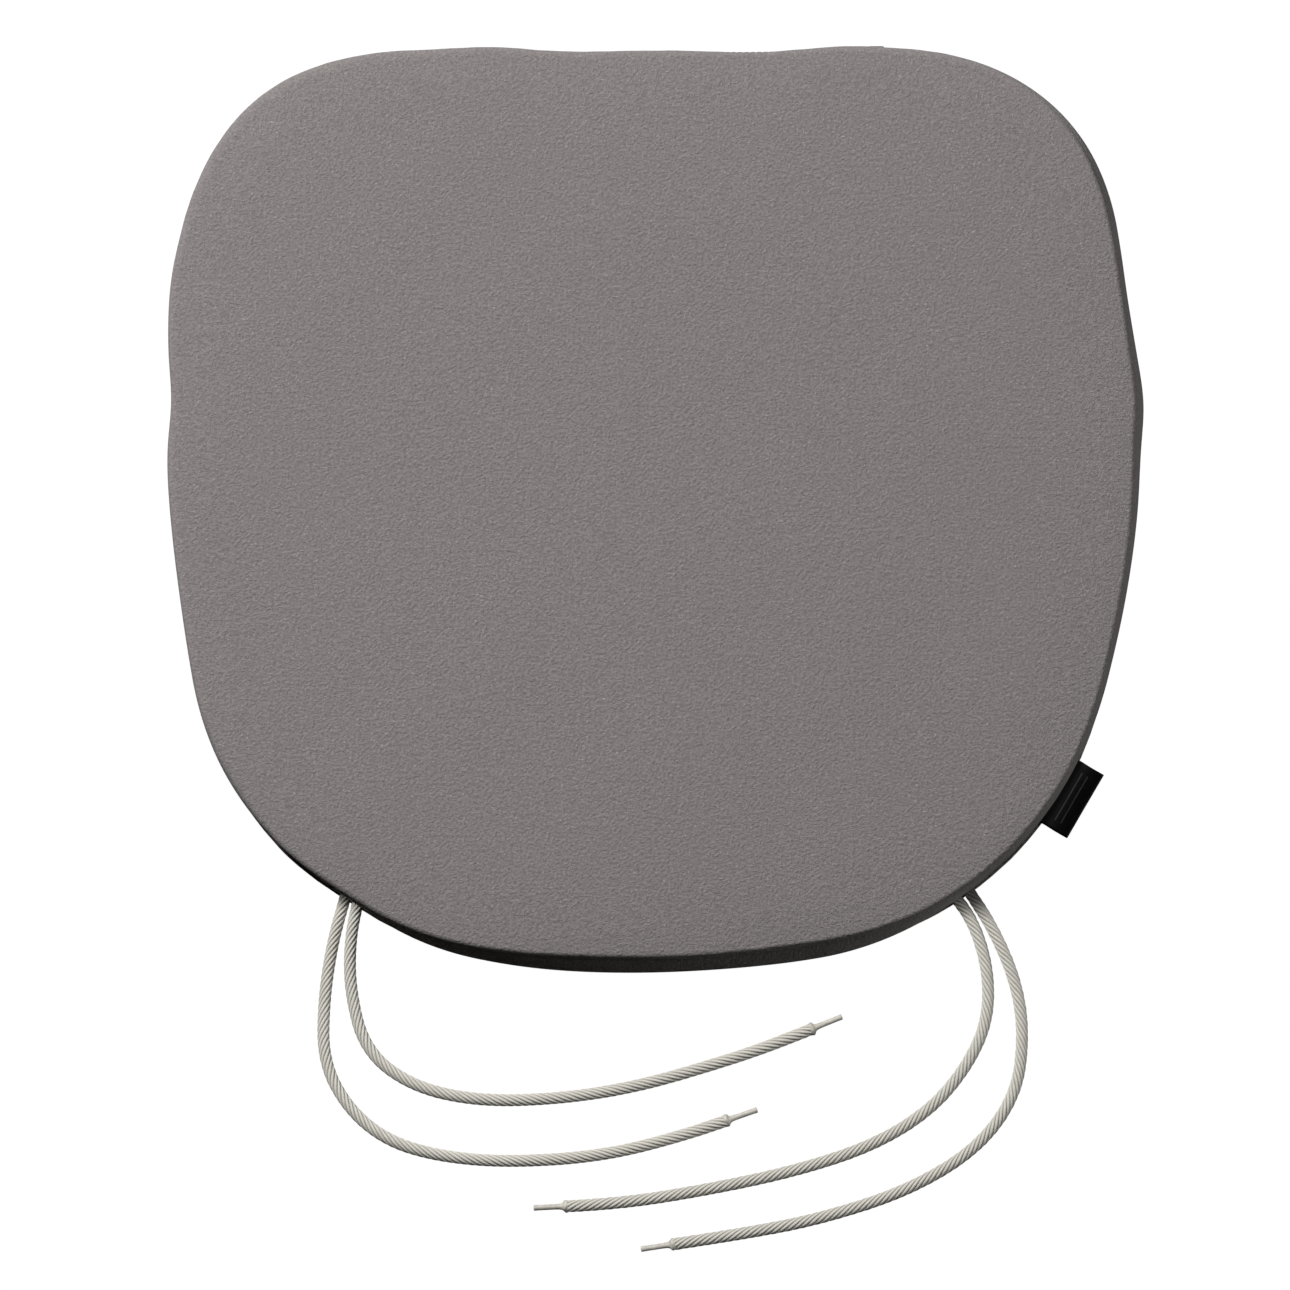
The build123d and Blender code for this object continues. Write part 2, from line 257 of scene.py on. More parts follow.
def end_caps(rows, around):
    """Faces that close a tube at both ends."""
    last = (rows - 1) * around
    return [tuple(range(around))[::-1], tuple(last + k for k in range(around))]


def tube(centres, sides, ups, radii, around):
    """Vertices and faces of a closed tube along its centres."""
    angle = np.arange(around) * 2 * math.pi / around
    ring = np.cos(angle)[None, :, None] * sides[:, None] + np.sin(angle)[None, :, None] * ups[:, None]
    verts = centres[:, None] + ring * np.asarray(radii).reshape(len(centres), -1)[..., None]
    faces = grid_faces(len(centres), around, closed=True) + end_caps(len(centres), around)
    return verts.reshape(-1, 3), faces


def free_tube(centres, radius, around):
    """A round tube along any line that is never vertical for long."""
    _, side, up = line_frames(centres)
    return tube(centres, side, up, np.full(len(centres), radius), around)


def line_frames(line):
    """Tangent, sideways and upward directions along a line."""
    tangent = np.gradient(line, axis=0)
    tangent /= np.linalg.norm(tangent, axis=1)[:, None]
    side = np.cross([0.02, 0.01, 1.0], tangent)
    side /= np.linalg.norm(side, axis=1)[:, None]
    return tangent, side, np.cross(tangent, side)


def run_along(line):
    """Distance of each point along a line from its start."""
    return np.concatenate([[0.0], np.cumsum(np.linalg.norm(np.diff(line, axis=0), axis=1))])


def points_at(steps, run, line):
    """Points of a line at these distances along it."""
    return np.stack([np.interp(steps, run, line[:, axis]) for axis in range(3)], axis=-1)


def join_parts(parts):
    """Vertices and faces of several parts as one."""
    verts, faces, start = [], [], 0
    for part_verts, part_faces in parts:
        verts.append(part_verts)
        faces.extend(tuple(start + k for k in face) for face in part_faces)
        start += len(part_verts)
    return np.concatenate(verts), faces


def flipped(faces):
    return [face[::-1] for face in faces]


def store(piece, name, values):
    """Keeps a number or a vector for each vertex, which the piece's material reads."""
    is_vector = values.shape[-1] == 3
    data = piece.data.attributes.new(name, "FLOAT_VECTOR" if is_vector else "FLOAT", "POINT").data
    data.foreach_set("vector" if is_vector else "value", values.astype(np.float32).ravel())


def thicken(piece, thickness):
    """Gives a sheet its thickness on its inner side."""
    solid = piece.modifiers.new("thickness", "SOLIDIFY")
    solid.thickness = thickness
    solid.offset = -1


# ---------------- material helpers
def new_material(name):
    """A node material and its Principled shader."""
    material = bpy.data.materials.new(name)
    material.use_nodes = True
    return material, material.node_tree.nodes["Principled BSDF"]


def connect(material, value, node, key):
    """Links an output to an input, or sets the input to a plain value."""
    if isinstance(value, bpy.types.NodeSocket):
        material.node_tree.links.new(value, node.inputs[key])
    else:
        node.inputs[key].default_value = value


def add_node(material, kind, values):
    """A node with its inputs set or linked."""
    node = material.node_tree.nodes.new(kind)
    for key, value in values.items():
        connect(material, value, node, key)
    return node


def place_in(material, scale=(1, 1, 1)):
    """Coordinates in the CAD frame, in metres, stretched by a scale."""
    where = material.node_tree.nodes.new("ShaderNodeTexCoord").outputs["Object"]
    return add_node(material, "ShaderNodeMapping", {"Vector": where, "Scale": scale}).outputs[0]


def noise(material, where, scale, detail=2.0, roughness=0.5):
    values = {"Vector": where, "Scale": scale, "Detail": detail, "Roughness": roughness}
    return add_node(material, "ShaderNodeTexNoise", values).outputs["Fac"]


def spread(material, value, low, high, to_low=0.0, to_high=1.0):
    """The value stretched from one range to another, and clamped."""
    values = {0: value, 1: low, 2: high, 3: to_low, 4: to_high}
    return add_node(material, "ShaderNodeMapRange", values).outputs[0]


def mixed(material, factor, first, second):
    """Colour between two colours."""
    node = material.node_tree.nodes.new("ShaderNodeMix")
    node.data_type = "RGBA"
    for key, value in ((0, factor), (6, first), (7, second)):
        connect(material, (*value, 1) if isinstance(value, tuple) else value, node, key)
    return node.outputs[2]


def maths(material, operation, first, second=0.0):
    node = material.node_tree.nodes.new("ShaderNodeMath")
    node.operation = operation
    connect(material, first, node, 0)
    connect(material, second, node, 1)
    return node.outputs[0]


def blend(material, first, second, share):
    """Weighted sum of two heights."""
    return maths(
        material, "ADD",
        maths(material, "MULTIPLY", first, 1 - share), maths(material, "MULTIPLY", second, share),
    )


def attribute(material, name, output):
    node = material.node_tree.nodes.new("ShaderNodeAttribute")
    node.attribute_name = name
    return node.outputs[output]


def dress(material, shader, base, rough, bump):
    """Colour, roughness and bump of a surface: the bump is a height, its distance and its strength."""
    connect(material, base, shader, "Base Color")
    connect(material, rough, shader, "Roughness")
    values = dict(zip(("Height", "Distance", "Strength"), bump))
    connect(material, add_node(material, "ShaderNodeBump", values).outputs[0], shader, "Normal")


# ---------------- materials
def cover_fabric():
    """Brushed suede-look fabric: short matted fibres in small pebbles, with paler fibre tips."""
    material, shader = new_material("cover_fabric")
    where = place_in(material)
    pebble = noise(material, where, 800, 2, 0.6)
    fine = noise(material, where, 1900, 2, 0.6)
    cloud = noise(material, where, 14, 2)
    grain = blend(material, pebble, fine, 0.35)
    shade = spread(material, pebble, 0.32, 0.68)
    base = mixed(material, shade, (0.196, 0.180, 0.1775), (0.266, 0.244, 0.2395))
    tips = spread(material, noise(material, where, 1200, 1), 0.62, 0.78, 0.0, 0.7)
    base = mixed(material, tips, base, (0.42, 0.39, 0.36))
    base = mixed(material, spread(material, cloud, 0.3, 0.7, 0.0, 0.12), base, (0.205, 0.188, 0.188))
    shader.inputs["Specular IOR Level"].default_value = 0.2
    shader.inputs["Sheen Weight"].default_value = 0.08
    shader.inputs["Sheen Roughness"].default_value = 0.5
    rough = spread(material, grain, 0.3, 0.7, 0.96, 0.84)
    dress(material, shader, base, rough, (grain, 1.3 * MM, 0.7))
    return material


def woven(name, dark, light, threads, roughness, depth, sheen):
    """Woven tape or thread: crossing waves, this many threads per metre."""
    material, shader = new_material(name)
    where = place_in(material)
    waves = []
    values = {"Vector": where, "Scale": threads / 20, "Distortion": 0.5, "Detail Scale": 2.0}
    for axis in ("X", "Z"):
        wave = add_node(material, "ShaderNodeTexWave", values)
        wave.bands_direction = axis
        waves.append(wave.outputs["Fac"])
    fuzz = noise(material, where, threads * 0.6, 3, 0.6)
    weave = blend(material, maths(material, "MULTIPLY", *waves), fuzz, 0.35)
    rough = spread(material, fuzz, 0.3, 0.7, roughness - 0.1, roughness + 0.1)
    shader.inputs["Sheen Weight"].default_value = sheen
    base = mixed(material, weave, dark, light)
    dress(material, shader, base, rough, (weave, depth * MM, 0.6))
    return material


def herringbone_tape():
    """Zip tape: a fine herringbone of slanting threads in narrow lengthwise ribs."""
    material, shader = new_material("zip_tape")
    where = place_in(material)
    split = add_node(material, "ShaderNodeSeparateXYZ", {0: where})
    rib = maths(material, "PINGPONG", split.outputs["Z"], 1.1 * MM)
    slant = maths(material, "ADD", split.outputs["X"], rib)
    thread = maths(material, "PINGPONG", slant, 0.28 * MM)
    thread = spread(material, thread, 0.0, 0.28 * MM)
    fuzz = noise(material, where, 1800, 3, 0.6)
    weave = blend(material, thread, fuzz, 0.3)
    base = mixed(material, weave, (0.075, 0.069, 0.068), (0.19, 0.175, 0.172))
    shader.inputs["Sheen Weight"].default_value = 0.1
    rough = spread(material, fuzz, 0.3, 0.7, 0.65, 0.85)
    dress(material, shader, base, rough, (weave, 0.12 * MM, 0.7))
    return material


def label_tape():
    """Black damask tape of the side tab, with two thin grey woven lines along it."""
    material, shader = new_material("tab_weave")
    split = add_node(material, "ShaderNodeSeparateXYZ", {0: attribute(material, "tape", "Vector")})
    along, across = split.outputs["X"], split.outputs["Y"]
    warp = spread(material, maths(material, "PINGPONG", along, 0.17 * MM), 0.0, 0.17 * MM)
    weft = spread(material, maths(material, "PINGPONG", across, 0.22 * MM), 0.0, 0.22 * MM)
    fuzz = noise(material, place_in(material), 1600, 3, 0.6)
    weave = blend(material, maths(material, "MULTIPLY", warp, weft), fuzz, 0.35)
    from_line = maths(material, "ABSOLUTE", maths(material, "SUBTRACT", across, TAB_LINES[0]))
    from_other = maths(material, "ABSOLUTE", maths(material, "SUBTRACT", across, TAB_LINES[1]))
    nearest = maths(material, "MINIMUM", from_line, from_other)
    line = spread(material, nearest, 0.2 * MM, 0.3 * MM, 0.9, 0.0)
    inside = spread(material, maths(material, "ABSOLUTE", along), 11.0 * MM, 11.2 * MM, 1.0, 0.0)
    ground = mixed(material, weave, (0.0035, 0.0035, 0.004), (0.014, 0.014, 0.015))
    grey = mixed(material, weave, (0.13, 0.13, 0.13), (0.22, 0.22, 0.22))
    base = mixed(material, maths(material, "MULTIPLY", line, inside), ground, grey)
    shader.inputs["Specular IOR Level"].default_value = 0.3
    rough = spread(material, fuzz, 0.3, 0.7, 0.5, 0.7)
    dress(material, shader, base, rough, (weave, 0.08 * MM, 0.6))
    return material


def cord_fibre():
    """Cream cotton strands: fine fibres along each, with painted shade in the hollows between strands and
    a painted shadow of the pad beside the seam.
    """
    material, shader = new_material("tie_cord")
    fibre = noise(material, attribute(material, "strand", "Vector"), 1.0, 4, 0.65)
    soil = noise(material, place_in(material), 45, 2)
    base = mixed(material, spread(material, fibre, 0.3, 0.7), (0.58, 0.555, 0.495), (0.80, 0.775, 0.705))
    base = mixed(material, spread(material, soil, 0.3, 0.7, 0, 0.25), base, (0.60, 0.57, 0.51))
    # painted shade: the depth attribute darkens the hollows between strands and, as a painted shadow of
    # the pad, the root beside the seam
    groove_and_root_shade = spread(material, attribute(material, "depth", "Fac"), 0.0, ROOT_SHADOW_DARKNESS, 0.0, 0.99)
    # near-black colour of the painted shade and painted shadow
    base = mixed(material, groove_and_root_shade, base, (0.03, 0.028, 0.024))
    shader.inputs["Specular IOR Level"].default_value = 0.25
    shader.inputs["Sheen Weight"].default_value = 0.08
    rough = spread(material, fibre, 0.3, 0.7, 0.75, 0.92)
    dress(material, shader, base, rough, (fibre, 0.12 * MM, 0.6))
    return material


def dipped_plastic():
    """Cream plastic of the cord tips: slightly uneven, satin and a little soiled."""
    material, shader = new_material("tie_tip")
    lumps = noise(material, place_in(material), 480, 3, 0.55)
    base = mixed(material, spread(material, lumps, 0.35, 0.65), (0.50, 0.475, 0.415), (0.63, 0.605, 0.54))
    rough = spread(material, lumps, 0.3, 0.7, 0.38, 0.56)
    dress(material, shader, base, rough, (lumps, 0.15 * MM, 0.4))
    return material


def coil_plastic():
    """Nylon filament of the zip's coils."""
    material, shader = new_material("zip_coil")
    streak = noise(material, place_in(material, (3, 1, 1)), 900, 3, 0.6)
    base = mixed(material, spread(material, streak, 0.3, 0.7), (0.10, 0.092, 0.09), (0.17, 0.157, 0.154))
    rough = spread(material, streak, 0.3, 0.7, 0.3, 0.46)
    dress(material, shader, base, rough, (streak, 0.03 * MM, 0.5))
    return material


def enamelled_metal():
    """Dark enamelled zinc, rubbed bright where its edges stand out."""
    material, shader = new_material("zip_metal")
    mottle = noise(material, place_in(material), 700, 4, 0.6)
    shape = material.node_tree.nodes.new("ShaderNodeNewGeometry")
    edge = spread(material, shape.outputs["Pointiness"], 0.53, 0.62)
    rubbed = maths(material, "MULTIPLY", edge, spread(material, mottle, 0.35, 0.6, 0.2, 0.9))
    paint = mixed(material, mottle, (0.075, 0.069, 0.068), (0.115, 0.106, 0.104))
    connect(material, maths(material, "MULTIPLY", rubbed, 0.9), shader, "Metallic")
    base = mixed(material, rubbed, paint, (0.55, 0.54, 0.52))
    rough = spread(material, mottle, 0.3, 0.7, 0.28, 0.42)
    dress(material, shader, base, rough, (mottle, 0.04 * MM, 0.4))
    return material


def open_foam():
    """Pale open-cell foam."""
    material, shader = new_material("foam")
    where = place_in(material)
    cells = add_node(material, "ShaderNodeTexVoronoi", {"Vector": where, "Scale": 900}).outputs[0]
    tint = noise(material, where, 25, 3)
    base = mixed(material, spread(material, cells, 0.1, 0.7), (0.50, 0.45, 0.30), (0.80, 0.75, 0.58))
    base = mixed(material, spread(material, tint, 0.3, 0.7, 0, 0.3), base, (0.70, 0.62, 0.42))
    rough = spread(material, tint, 0.3, 0.7, 0.85, 0.98)
    dress(material, shader, base, rough, (cells, 0.5 * MM, 0.7))
    return material


COVER_FABRIC = cover_fabric()
FOAM = open_foam()
ZIP_TAPE = herringbone_tape()
ZIP_COIL = coil_plastic()
ZIP_METAL = enamelled_metal()
SEWING_THREAD = woven("thread", (0.11, 0.101, 0.099), (0.25, 0.23, 0.225), 3000, 0.7, 0.05, 0.1)
LABEL_TAPE = label_tape()
SATIN = woven("care_label", (0.66, 0.65, 0.61), (0.85, 0.84, 0.80), 2600, 0.45, 0.04, 0.0)
CORD_FIBRE = cord_fibre()
DIPPED_PLASTIC = dipped_plastic()


# ---------------- cover
QUARTER = 96  # columns round a quarter of a panel, and along each side of its face


def panel_places():
    return np.arange(4 * QUARTER) * ROUND / (4 * QUARTER)


def rim_rows(place):
    """Rows of a panel's rim: its allowance, the turn out of the seam and the shoulder."""
    at_seam = side_inset(place, SEAM_Z)
    low = SEAM_Z + SEAM_GAP
    rows = [(at_seam + back, low) for back in (ALLOWANCE, ALLOWANCE / 2, 2 * SEAM_ROLL)]
    for angle in np.radians(np.linspace(-90, 0, 7)):
        turn = SEAM_ROLL * (1 - np.cos(angle))
        rows.append((at_seam + turn, low + SEAM_ROLL * (1 + np.sin(angle))))
    rise = TOP_Z - EDGE_DROP - low - SEAM_ROLL
    shoulder = SHOULDER + bumps(place, SHOULDERS)
    for angle in np.radians(np.linspace(7, 90, 13)):
        turn = shoulder * (1 - np.cos(angle))
        rows.append((at_seam + turn, low + SEAM_ROLL + rise * np.sin(angle)))
    return rows


def face_rows(edge_inset):
    """Rows from the shoulder to the edge of the square patch, still flat."""
    inner = 18 * MM
    shares = (0.05, 0.12, 0.21, 0.33, 0.48, 0.65, 0.82, 1.0)
    return [(edge_inset + (inner - edge_inset) * share, TOP_Z - EDGE_DROP) for share in shares]


def patch_numbers(ring_start, patch_start):
    """Vertex numbers of a square patch whose sides are the last ring."""
    columns = 4 * QUARTER
    step = np.arange(QUARTER + 1)
    numbers = np.zeros((QUARTER + 1, QUARTER + 1), int)
    first = -QUARTER // 2
    numbers[0, :] = ring_start + (first + step) % columns
    numbers[:, -1] = ring_start + (first + QUARTER + step) % columns
    numbers[-1, ::-1] = ring_start + (first + 2 * QUARTER + step) % columns
    numbers[::-1, 0] = ring_start + (first + 3 * QUARTER + step) % columns
    inner = np.arange((QUARTER - 1) ** 2).reshape(QUARTER - 1, QUARTER - 1)
    numbers[1:-1, 1:-1] = patch_start + inner
    return numbers


def patch_points(ring):
    """Points of the square patch, spanned smoothly between its four sides."""
    numbers = patch_numbers(0, 4 * QUARTER)
    top, bottom = ring[numbers[0]][None], ring[numbers[-1]][None]
    left, right = ring[numbers[:, 0]][:, None], ring[numbers[:, -1]][:, None]
    u = np.linspace(0, 1, QUARTER + 1)[None, :, None]
    v = np.linspace(0, 1, QUARTER + 1)[:, None, None]
    corners = (
        (1 - u) * (1 - v) * ring[numbers[0, 0]]
        + u * (1 - v) * ring[numbers[0, -1]]
        + (1 - u) * v * ring[numbers[-1, 0]]
        + u * v * ring[numbers[-1, -1]]
    )
    points = (1 - v) * top + v * bottom + (1 - u) * left + u * right - corners
    return points[1:-1, 1:-1].reshape(-1, 3)


def patch_faces(numbers):
    corners = (numbers[:-1, :-1], numbers[1:, :-1], numbers[1:, 1:], numbers[:-1, 1:])
    return [tuple(face) for face in np.stack(corners, axis=-1).reshape(-1, 4).tolist()]


def inflate(verts, faces, pinned):
    """Heights that a cloth sheet pinned at its rim gains under pressure, 1 at the most."""
    sheet = new_piece("inflating", verts, faces, COVER_FABRIC)
    group = sheet.vertex_groups.new(name="rim")
    group.add(pinned, 1.0, "REPLACE")
    cloth = sheet.modifiers.new("cloth", "CLOTH")
    cloth.settings.quality = 4
    cloth.settings.use_pressure = True
    cloth.settings.uniform_pressure_force = 4
    cloth.settings.vertex_group_mass = "rim"
    cloth.settings.effector_weights.gravity = 0
    cloth.collision_settings.use_collision = False
    scene = bpy.context.scene
    for number in range(1, 21):
        scene.frame_set(number)
    graph = bpy.context.evaluated_depsgraph_get()
    result = np.array([vertex.co.z for vertex in sheet.evaluated_get(graph).data.vertices])
    scene.frame_set(1)
    mesh = sheet.data
    bpy.data.objects.remove(sheet)
    bpy.data.meshes.remove(mesh)
    gained = result - np.asarray(verts)[:, 2]
    return gained / gained.max()


def crown_gain(verts, faces, pinned):
    return inflate(verts, faces, pinned)


def make_panel(name, node, is_top):
    """A cover panel: rows round the rim and a square patch across the face."""
    place = panel_places()
    columns = len(place)
    rim = rim_rows(place)
    rows = rim + face_rows(rim[-1][0])
    rings = np.stack([cover_point(place, inset, z) for inset, z in rows])
    inner = patch_points(rings[-1])
    verts = np.concatenate([rings.reshape(-1, 3), inner])
    ring_start, patch_start = (len(rows) - 1) * columns, len(rows) * columns
    faces = grid_faces(len(rows), columns, closed=True)
    faces += flipped(patch_faces(patch_numbers(ring_start, patch_start)))
    if is_top:
        face_start = (len(rim) - 1) * columns
        sheet = [tuple(k - face_start for k in face) for face in faces if min(face) >= face_start]
        gain = crown_gain(verts[face_start:], flipped(sheet), list(range(columns)))
        # foam fills the cover evenly, so the crown levels off a short way in from the rim
        levelled = (1 - np.exp(-gain / CROWN_REACH)) / (1 - math.exp(-1 / CROWN_REACH))
        verts[face_start:, 2] += (EDGE_DROP + CROWN) * levelled
        verts[face_start:, 2] += unevenness(verts[face_start:], gain)
        faces = flipped(faces)
    else:
        verts[:, 2] = TOP_Z - verts[:, 2]
        verts[:, 2] -= EDGE_DROP * smooth((TOP_Z - SEAM_Z - verts[:, 2]) / (TOP_Z - SEAM_Z - EDGE_DROP))
    piece = new_piece(name, verts, faces, COVER_FABRIC)
    thicken(piece, FABRIC)
    finish_piece(piece, node)


def unevenness(verts, gain):
    """Faint waves of the face, none at the rim."""
    x, y = verts[:, 0] / MM, verts[:, 1] / MM
    waves = np.sin(x / 17 + 1.3 * np.sin(y / 29)) * np.sin(y / 21 + np.sin(x / 33))
    return 0.10 * MM * waves * smooth(gain / 0.2)


def side_rows(low, high, low_end, high_end):
    """Rows of a strip of the side as (extra inset, height), between its two ends' own rows."""
    count = int((high - low) / (1.1 * MM))
    middle = [(0.0, z) for z in np.linspace(low, high, count)[1:-1]]
    return low_end + middle + high_end


def seam_end(sign):
    """Rows that turn the side into a seam, from the allowance outwards: sign 1 at the top."""
    edge = SEAM_Z - SEAM_GAP if sign > 0 else TOP_Z - SEAM_Z + SEAM_GAP
    rows = [(ALLOWANCE, edge), (ALLOWANCE / 2, edge), (2 * SEAM_ROLL, edge)]
    for angle in np.radians(np.linspace(90, 0, 7)):
        rows.append((SEAM_ROLL * (1 - np.cos(angle)), edge - sign * SEAM_ROLL * (1 - np.sin(angle))))
    return rows


def hem_end(sign):
    """Rows of a hem folded back behind a strip, from its hidden end outwards: sign 1 folds down."""
    edge = MID_Z + sign * HEM_EDGE
    behind = 2.05 * FABRIC
    rows = [(behind, edge + sign * height) for height in (HEM, HEM / 2, 2 * FABRIC)]
    radius = behind / 2
    for angle in np.radians(np.linspace(180, 0, 11)):
        rows.append((radius * (1 - np.cos(angle)), edge + sign * radius * (1 - np.sin(angle))))
    return rows


def side_piece(name, node, start, end, step, rows):
    """A strip of the cover's side, turned in at its upright seams."""
    roll = np.radians(np.linspace(90, 0, 6))[:-1]
    turn = SEAM_ROLL * (1 - np.sin(roll))
    count = int((end - start) / step)
    deep = np.array([4 * MM, 2 * MM])
    place = np.concatenate([
        [start, start], start + turn, np.linspace(start + SEAM_ROLL, end - SEAM_ROLL, count),
        (end - turn)[::-1], [end, end],
    ])
    turned = SEAM_ROLL * (1 - np.cos(roll))
    at_ends = np.concatenate([deep, turned, np.zeros(count), turned[::-1], deep[::-1]])
    points = []
    for extra, z in rows:
        inset = side_inset(place, z) + np.maximum(extra, at_ends)
        points.append(cover_point(place, inset, z))
    piece = new_piece(name, np.stack(points), flipped(grid_faces(len(rows), len(place))), COVER_FABRIC)
    thicken(piece, FABRIC)
    return finish_piece(piece, node)


def make_side():
    """The band round the cover and the two strips beside the zip."""
    low_seam, roll = TOP_Z - SEAM_Z, SEAM_GAP + SEAM_ROLL
    band = side_rows(low_seam + roll, SEAM_Z - roll, seam_end(-1), seam_end(1)[::-1])
    upper_edge = MID_Z + HEM_EDGE + FABRIC
    upper = side_rows(upper_edge, SEAM_Z - roll, hem_end(1), seam_end(1)[::-1])
    lower = side_rows(low_seam + roll, TOP_Z - upper_edge, seam_end(-1), hem_end(-1)[::-1])
    piece = side_piece("side_band_cover", "side_band", ZIP_HALF, ROUND - ZIP_HALF, 2.4 * MM, band)
    side_piece("zip_strip_upper_cover", "zip_strip_upper", -ZIP_HALF, ZIP_HALF, 1.6 * MM, upper)
    side_piece("zip_strip_lower_cover", "zip_strip_lower", -ZIP_HALF, ZIP_HALF, 1.6 * MM, lower)


make_panel("top_cover", "top_panel", True)
make_panel("bottom_cover", "bottom_panel", False)
make_side()


# ---------------- foam
def make_foam():
    """The foam slab: thinner over the seam allowances, with a pocket behind the zip."""
    place = panel_places()
    flat_z, flap_z = 1.05 * MM, TOP_Z - SEAM_Z + 1.05 * MM
    low = [
        (10.5 * MM, flat_z), (9.8 * MM, flat_z + 0.3 * MM), (9.4 * MM, flat_z + 1.2 * MM),
        (9.2 * MM, flap_z - 0.6 * MM), (8.4 * MM, flap_z), (2.6 * MM, flap_z),
        (1.7 * MM, flap_z + 0.6 * MM), (1.4 * MM, 7 * MM), (1.3 * MM, 9.5 * MM), (1.3 * MM, MID_Z),
    ]
    rows = low + [(extra, TOP_Z - z) for extra, z in low[-2::-1]]
    rings = []
    for extra, z in rows:
        pocket = 3.0 * MM * beside_zip(place, 6 * MM) * (abs(z - MID_Z) < 6 * MM)
        rings.append(cover_point(place, side_inset(place, z) + extra + pocket, z))
    columns = len(place)
    patch_start = len(rows) * columns
    lower, upper = patch_points(rings[0]), patch_points(rings[-1])
    verts = np.concatenate([np.concatenate(rings), lower, upper])
    faces = flipped(grid_faces(len(rows), columns, closed=True))
    bottom = patch_faces(patch_numbers(0, patch_start))
    top = patch_faces(patch_numbers((len(rows) - 1) * columns, patch_start + len(lower)))
    faces += flipped(bottom) + top
    finish_piece(new_piece("foam_slab", verts, faces, FOAM), "foam_core")


make_foam()


# ---------------- stitching
def stitches(line, outs, length=STITCH):
    """Separate stitches along a line that lies on a surface: each dips into it at both ends."""
    run = run_along(line)
    count = max(1, round(run[-1] / length))
    share = np.array([0.04, 0.16, 0.5, 0.84, 0.96])
    lift = np.array([-0.55, 0.15, 0.35, 0.15, -0.55]) * THREAD
    radii = np.array([0.7, 1.0, 1.08, 1.0, 0.7]) * THREAD / 2
    parts = []
    for number in range(count):
        at = (number + share) * run[-1] / count
        centres, out = points_at(at, run, line), points_at(at, run, outs)
        along = centres[-1] - centres[0]
        side = np.cross(out, along)
        side /= np.linalg.norm(side, axis=1)[:, None]
        parts.append(tube(centres + out * lift[:, None], side, out, radii, 6))
    return join_parts(parts)


def side_stitches(places, z):
    """Stitches along the side's surface at one height."""
    outs = np.stack([
        outline_at(places, "out_x"), outline_at(places, "out_y"), np.zeros_like(places)
    ], axis=-1)
    return stitches(cover_point(places, side_inset(places, z), z), outs)


def thread_piece(name, node, verts, faces):
    finish_piece(new_piece(name, verts, faces, SEWING_THREAD), node)


def make_stitching():
    """Rows beside the zip, upright rows at its ends, and the hidden seams of the panels."""
    zip_run = np.linspace(-ZIP_HALF + 3 * MM, ZIP_HALF - 3 * MM, 400)
    beside_fold = HEM_EDGE + 1.7 * MM
    for name, z in (("upper", MID_Z + beside_fold), ("lower", MID_Z - beside_fold)):
        thread_piece(f"zip_stitches_{name}", f"zip_stitching_{name}", *side_stitches(zip_run, z))
    heights = np.linspace(5.5 * MM, TOP_Z - 5.5 * MM, 60)
    parts = []
    for place in (ZIP_HALF + 2.2 * MM, -ZIP_HALF - 2.2 * MM):
        places = np.full_like(heights, place)
        inset = np.array([side_inset(places[:1], np.array([z]))[0] for z in heights])
        outs = np.tile([outline_at(place, "out_x"), outline_at(place, "out_y"), 0.0], (len(heights), 1))
        parts.append(stitches(cover_point(places, inset, heights), outs))
    thread_piece("band_join_stitches", "band_join_thread", *join_parts(parts))
    ring = np.linspace(0, ROUND, 1600)
    under_flap = SEAM_Z - SEAM_GAP - FABRIC - THREAD / 2
    for name, z in (("top", under_flap), ("bottom", TOP_Z - under_flap)):
        inset = side_inset(ring, z) + 1.25 * MM
        down = np.tile([0.0, 0.0, -1.0 if name == "top" else 1.0], (len(ring), 1))
        rows = stitches(cover_point(ring, inset, z), down, 3 * STITCH)
        thread_piece(f"{name}_seam_stitches", f"{name}_seam_thread", *rows)


def make_tacks():
    """Dense zigzag bar tacks inside the band, which hold the cords."""
    for name, centre in (("left", -535 * MM), ("right", 532 * MM)):
        swing = np.linspace(0, 1, 241)
        place = centre + (swing - 0.5) * 10 * MM
        z = 5.6 * MM + 1.1 * MM * np.abs(np.mod(swing * 24, 2) - 1)
        inset = side_inset(place, z) + FABRIC + THREAD / 2
        zigzag = free_tube(cover_point(place, inset, z), THREAD / 2, 6)
        thread_piece(f"tie_tack_{name}_zigzag", f"tie_tack_{name}", *zigzag)


make_stitching()
make_tacks()


